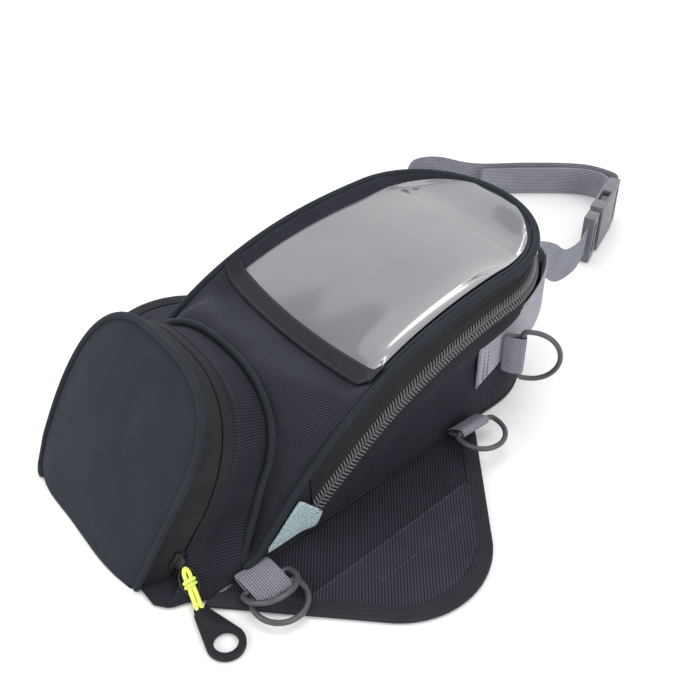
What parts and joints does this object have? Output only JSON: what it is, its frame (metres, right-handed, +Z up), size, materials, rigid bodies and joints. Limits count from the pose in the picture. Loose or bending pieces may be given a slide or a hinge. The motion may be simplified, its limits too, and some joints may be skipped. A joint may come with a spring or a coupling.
{
  "type": "motorcycle tank bag",
  "caption": "Wedge-shaped soft tank bag with a zipped lid and clear map window, a zipped front pouch, magnetic side wings, tie-down rings and a buckled waist belt.",
  "frame": {"origin": "on the underside of the flat base, on the bag's centre plane", "axes": "+Z up from the base, -Y towards the front pouch, +Y towards the waist belt, +X to the right seen from the pouch"},
  "size_m": [0.3971, 0.5939, 0.1415],
  "materials": {
    "fabric": "woven polyester, matt charcoal",
    "base_rubber": "non-slip coated fabric",
    "board": "plain polyethylene board",
    "zip_tape": "woven tape, matt brown black",
    "zip_coil": "nylon coil",
    "mint_tab": "woven tape, pale grey green",
    "clear_sheet": "clear soft sheet, glossy",
    "black_metal": "black enamel",
    "neon_cord": "woven cord, neon yellow green",
    "pull_rubber": "moulded rubber",
    "magnet": "ferrite plate, plain",
    "grey_webbing": "ribbed nylon webbing",
    "ring_metal": "dark grey coated wire",
    "buckle_plastic": "moulded acetal, satin"
  },
  "bodies": {
    "bag": {"base_panel": "base_rubber", "base_board": "board", "side_gusset": "fabric", "nose_panel": "fabric", "nose_piping": "fabric", "zip_tape_lower": "zip_tape", "zip_coil_lower": "zip_coil", "zip_end_tabs": "mint_tab", "pouch_gusset": "fabric", "pouch_back": "fabric", "pouch_floor": "fabric", "pouch_back_piping": "fabric", "pouch_zip_tape": "zip_tape", "front_loop_right": "grey_webbing", "side_loop_right": "grey_webbing", "side_strap_right": "grey_webbing", "rear_loop_right": "grey_webbing", "front_loop_left": "grey_webbing", "side_loop_left": "grey_webbing", "side_strap_left": "grey_webbing", "rear_loop_left": "grey_webbing", "belt_strap": "grey_webbing", "belt_tail": "grey_webbing", "short_strap": "grey_webbing", "buckle_socket": "buckle_plastic"},
    "lid": {"lid_panel": "fabric", "lid_rim": "fabric", "lid_piping": "fabric", "zip_tape_upper": "zip_tape", "zip_coil_upper": "zip_coil", "window_sheet": "clear_sheet", "window_binding": "zip_tape"},
    "pouch_door": {"pouch_face": "fabric", "pouch_rim": "zip_tape", "pouch_face_piping": "fabric"},
    "pouch_slider": {"pouch_slider": "black_metal"},
    "pouch_pull": {"pull_cord": "neon_cord", "pull_tab": "pull_rubber"},
    "main_slider": {"main_slider": "black_metal"},
    "main_pull": {"main_pull": "pull_rubber"},
    "buckle_plug": {"buckle_plug": "buckle_plastic"},
    "prong_upper": {"prong_upper": "buckle_plastic"},
    "prong_lower": {"prong_lower": "buckle_plastic"},
    "wing_right": {"wing_right": "fabric", "wing_binding_right": "zip_tape", "wing_magnets_right": "magnet"},
    "wing_left": {"wing_left": "fabric", "wing_binding_left": "zip_tape", "wing_magnets_left": "magnet"},
    "front_ring_outer_right": {"front_ring_outer_right": "ring_metal"},
    "front_ring_inner_right": {"front_ring_inner_right": "ring_metal"},
    "side_ring_right": {"side_ring_right": "ring_metal"},
    "rear_ring_right": {"rear_ring_right": "ring_metal"},
    "front_ring_outer_left": {"front_ring_outer_left": "ring_metal"},
    "front_ring_inner_left": {"front_ring_inner_left": "ring_metal"},
    "side_ring_left": {"side_ring_left": "ring_metal"},
    "rear_ring_left": {"rear_ring_left": "ring_metal"}
  },
  "joints": [
    {"name": "lid_hinge", "type": "hinge", "parent": "bag", "child": "lid", "pos_m": [0, -0.08001, 0.09862], "axis": [1, 0, 0], "range_deg": [0, 95]},
    {"name": "pouch_door_hinge", "type": "hinge", "parent": "bag", "child": "pouch_door", "pos_m": [0, -0.211, 0.0012], "axis": [1, 0, 0], "range_deg": [0, 105]},
    {"name": "pouch_slider_slide", "type": "slide", "parent": "bag", "child": "pouch_slider", "axis": [0.1487, 0.4555, 0.8777], "range_m": [0, 0.042]},
    {"name": "pouch_pull_swing", "type": "hinge", "parent": "pouch_slider", "child": "pouch_pull", "pos_m": [0.07621, -0.17965, 0.01595], "axis": [0, -1, 0], "range_deg": [0, 75]},
    {"name": "main_slider_slide", "type": "slide", "parent": "bag", "child": "main_slider", "axis": [0.0616, 0.9411, 0.3325], "range_m": [0, 0.04]},
    {"name": "main_pull_swing", "type": "hinge", "parent": "main_slider", "child": "main_pull", "pos_m": [-0.09614, -0.01639, 0.06702], "axis": [0.0616, 0.9411, 0.3325], "range_deg": [0, 80]},
    {"name": "wing_right_hinge", "type": "hinge", "parent": "bag", "child": "wing_right", "pos_m": [0.08863, -0.06, 0], "axis": [-0.0605, 0.9982, 0], "range_deg": [0, 60]},
    {"name": "wing_left_hinge", "type": "hinge", "parent": "bag", "child": "wing_left", "pos_m": [-0.08863, -0.06, 0], "axis": [-0.0605, -0.9982, 0], "range_deg": [0, 60]},
    {"name": "front_ring_outer_right_swing", "type": "hinge", "parent": "bag", "child": "front_ring_outer_right", "pos_m": [0.11772, -0.144, 0.0073], "axis": [0, -1, 0], "range_deg": [0, 85]},
    {"name": "front_ring_inner_right_swing", "type": "hinge", "parent": "bag", "child": "front_ring_inner_right", "pos_m": [0.10872, -0.144, 0.0073], "axis": [0, -1, 0], "range_deg": [0, 85]},
    {"name": "side_ring_right_swing", "type": "hinge", "parent": "bag", "child": "side_ring_right", "pos_m": [0.09685, 0.045, 0.0168], "axis": [0, -1, 0], "range_deg": [0, 100]},
    {"name": "rear_ring_right_swing", "type": "hinge", "parent": "bag", "child": "rear_ring_right", "pos_m": [0.09214, 0.09171, 0.055], "axis": [0, 0, 1], "range_deg": [-70, 40]},
    {"name": "front_ring_outer_left_swing", "type": "hinge", "parent": "bag", "child": "front_ring_outer_left", "pos_m": [-0.11772, -0.144, 0.0073], "axis": [0, 1, 0], "range_deg": [0, 85]},
    {"name": "front_ring_inner_left_swing", "type": "hinge", "parent": "bag", "child": "front_ring_inner_left", "pos_m": [-0.10872, -0.144, 0.0073], "axis": [0, 1, 0], "range_deg": [0, 85]},
    {"name": "side_ring_left_swing", "type": "hinge", "parent": "bag", "child": "side_ring_left", "pos_m": [-0.09685, 0.045, 0.0168], "axis": [0, 1, 0], "range_deg": [0, 100]},
    {"name": "rear_ring_left_swing", "type": "hinge", "parent": "bag", "child": "rear_ring_left", "pos_m": [-0.09214, 0.09171, 0.055], "axis": [0, 0, -1], "range_deg": [-70, 40]},
    {"name": "buckle_release", "type": "slide", "parent": "bag", "child": "buckle_plug", "axis": [0.3987, -0.9171, 0], "range_m": [0, 0.026], "deforming": ["short_strap"]},
    {"name": "prong_upper_squeeze", "type": "hinge", "parent": "buckle_plug", "child": "prong_upper", "pos_m": [-0.0119, 0.29657, 0.0355], "axis": [-0.9171, -0.3987, 0], "range_deg": [0, 11.39]},
    {"name": "prong_lower_squeeze", "type": "hinge", "parent": "buckle_plug", "child": "prong_lower", "pos_m": [-0.0119, 0.29657, 0.0105], "axis": [0.9171, 0.3987, 0], "range_deg": [0, 11.39]}
  ],
  "couplings": [
    {"joint": "front_ring_inner_right_swing", "follows": "front_ring_outer_right_swing", "ratio": 1},
    {"joint": "front_ring_inner_left_swing", "follows": "front_ring_outer_left_swing", "ratio": 1},
    {"joint": "prong_upper_squeeze", "follows": "buckle_release", "rad_per_m": 7.3077},
    {"joint": "prong_lower_squeeze", "follows": "buckle_release", "rad_per_m": 7.3077}
  ]
}
